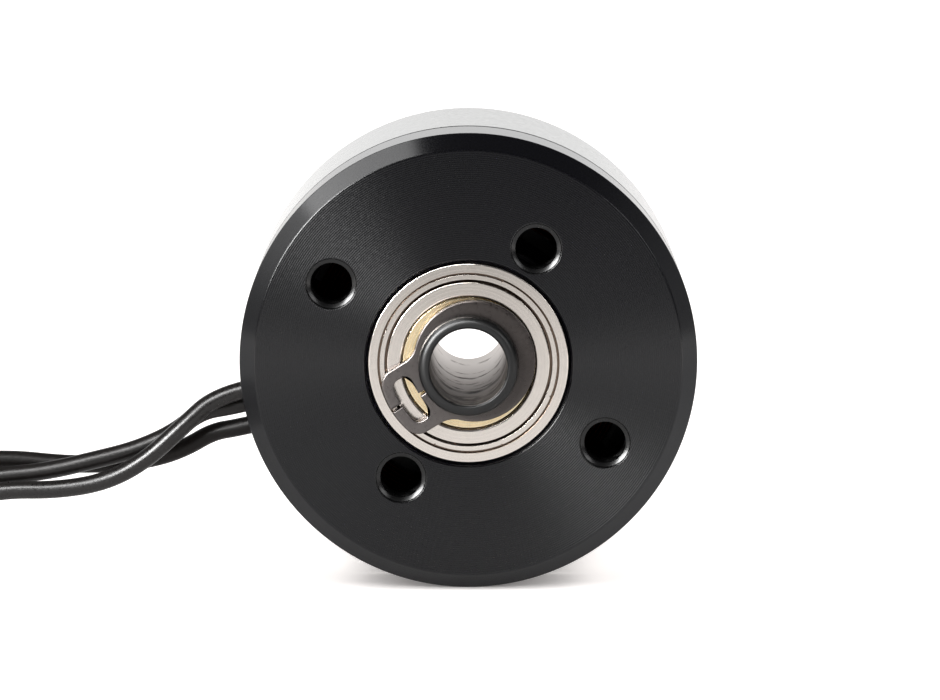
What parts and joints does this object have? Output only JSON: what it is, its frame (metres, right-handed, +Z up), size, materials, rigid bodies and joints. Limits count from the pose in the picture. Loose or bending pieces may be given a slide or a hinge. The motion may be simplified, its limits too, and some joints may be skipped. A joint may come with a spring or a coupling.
{
  "type": "gimbal motor",
  "caption": "Short round outrunner motor with a hollow shaft: black base with threaded mounting holes, silver bell that turns on ball bearings, and thin trailing leads.",
  "frame": {"origin": "on the motor axis, in the plane of the mounting face", "axes": "+Y runs along the motor axis from the mounting face to the bell, +Z is up as the motor lies in the picture"},
  "size_m": [0.0707, 0.0218, 0.0274],
  "materials": {
    "black_anodised": "turned, black anodised",
    "silver_anodised": "turned, satin silver anodised",
    "blacked_steel": "black oxide, polished nose, bare bore",
    "bearing_steel": "ground",
    "shield_steel": "pressed sheet",
    "spring_steel": "stamped, blacked",
    "flux_steel": "turned",
    "core_steel": "stacked laminations",
    "nickel_magnet": "nickel plated",
    "brass": "turned",
    "enamelled_copper": "enamelled wire, wound",
    "insulator": "moulded",
    "resin": "cast",
    "lead_silicone": "extruded, satin",
    "tie_plastic": "moulded"
  },
  "bodies": {
    "stator": {"base_housing": "black_anodised", "stator_core": "core_steel", "front_insulator": "insulator", "rear_insulator": "insulator", "lead_potting": "resin", "phase_a_windings": "enamelled_copper", "phase_b_windings": "enamelled_copper", "phase_c_windings": "enamelled_copper", "phase_a_lead": "lead_silicone", "phase_b_lead": "lead_silicone", "phase_c_lead": "lead_silicone", "lead_coil": "lead_silicone", "coil_tie": "tie_plastic", "front_bearing_outer_ring": "bearing_steel", "front_bearing_shields": "shield_steel", "rear_bearing_outer_ring": "bearing_steel", "rear_bearing_shields": "shield_steel"},
    "rotor": {"hollow_shaft": "blacked_steel", "brass_spacer": "brass", "circlip": "spring_steel", "rotor_bell": "silver_anodised", "flux_ring": "flux_steel", "north_magnets": "nickel_magnet", "south_magnets": "nickel_magnet", "front_bearing_inner_ring": "bearing_steel", "rear_bearing_inner_ring": "bearing_steel"},
    "front_cage": {"front_bearing_balls": "bearing_steel", "front_bearing_cage": "shield_steel"},
    "rear_cage": {"rear_bearing_balls": "bearing_steel", "rear_bearing_cage": "shield_steel"}
  },
  "joints": [
    {"name": "rotor_spin", "type": "hinge", "parent": "stator", "child": "rotor", "pos_m": [0, 0, 0], "axis": [0, 1, 0], "continuous": true},
    {"name": "front_cage_spin", "type": "hinge", "parent": "stator", "child": "front_cage", "pos_m": [0, 0, 0], "axis": [0, 1, 0], "continuous": true},
    {"name": "rear_cage_spin", "type": "hinge", "parent": "stator", "child": "rear_cage", "pos_m": [0, 0, 0], "axis": [0, 1, 0], "continuous": true}
  ],
  "couplings": [
    {"joint": "front_cage_spin", "follows": "rotor_spin", "ratio": 0.44},
    {"joint": "rear_cage_spin", "follows": "rotor_spin", "ratio": 0.44}
  ]
}
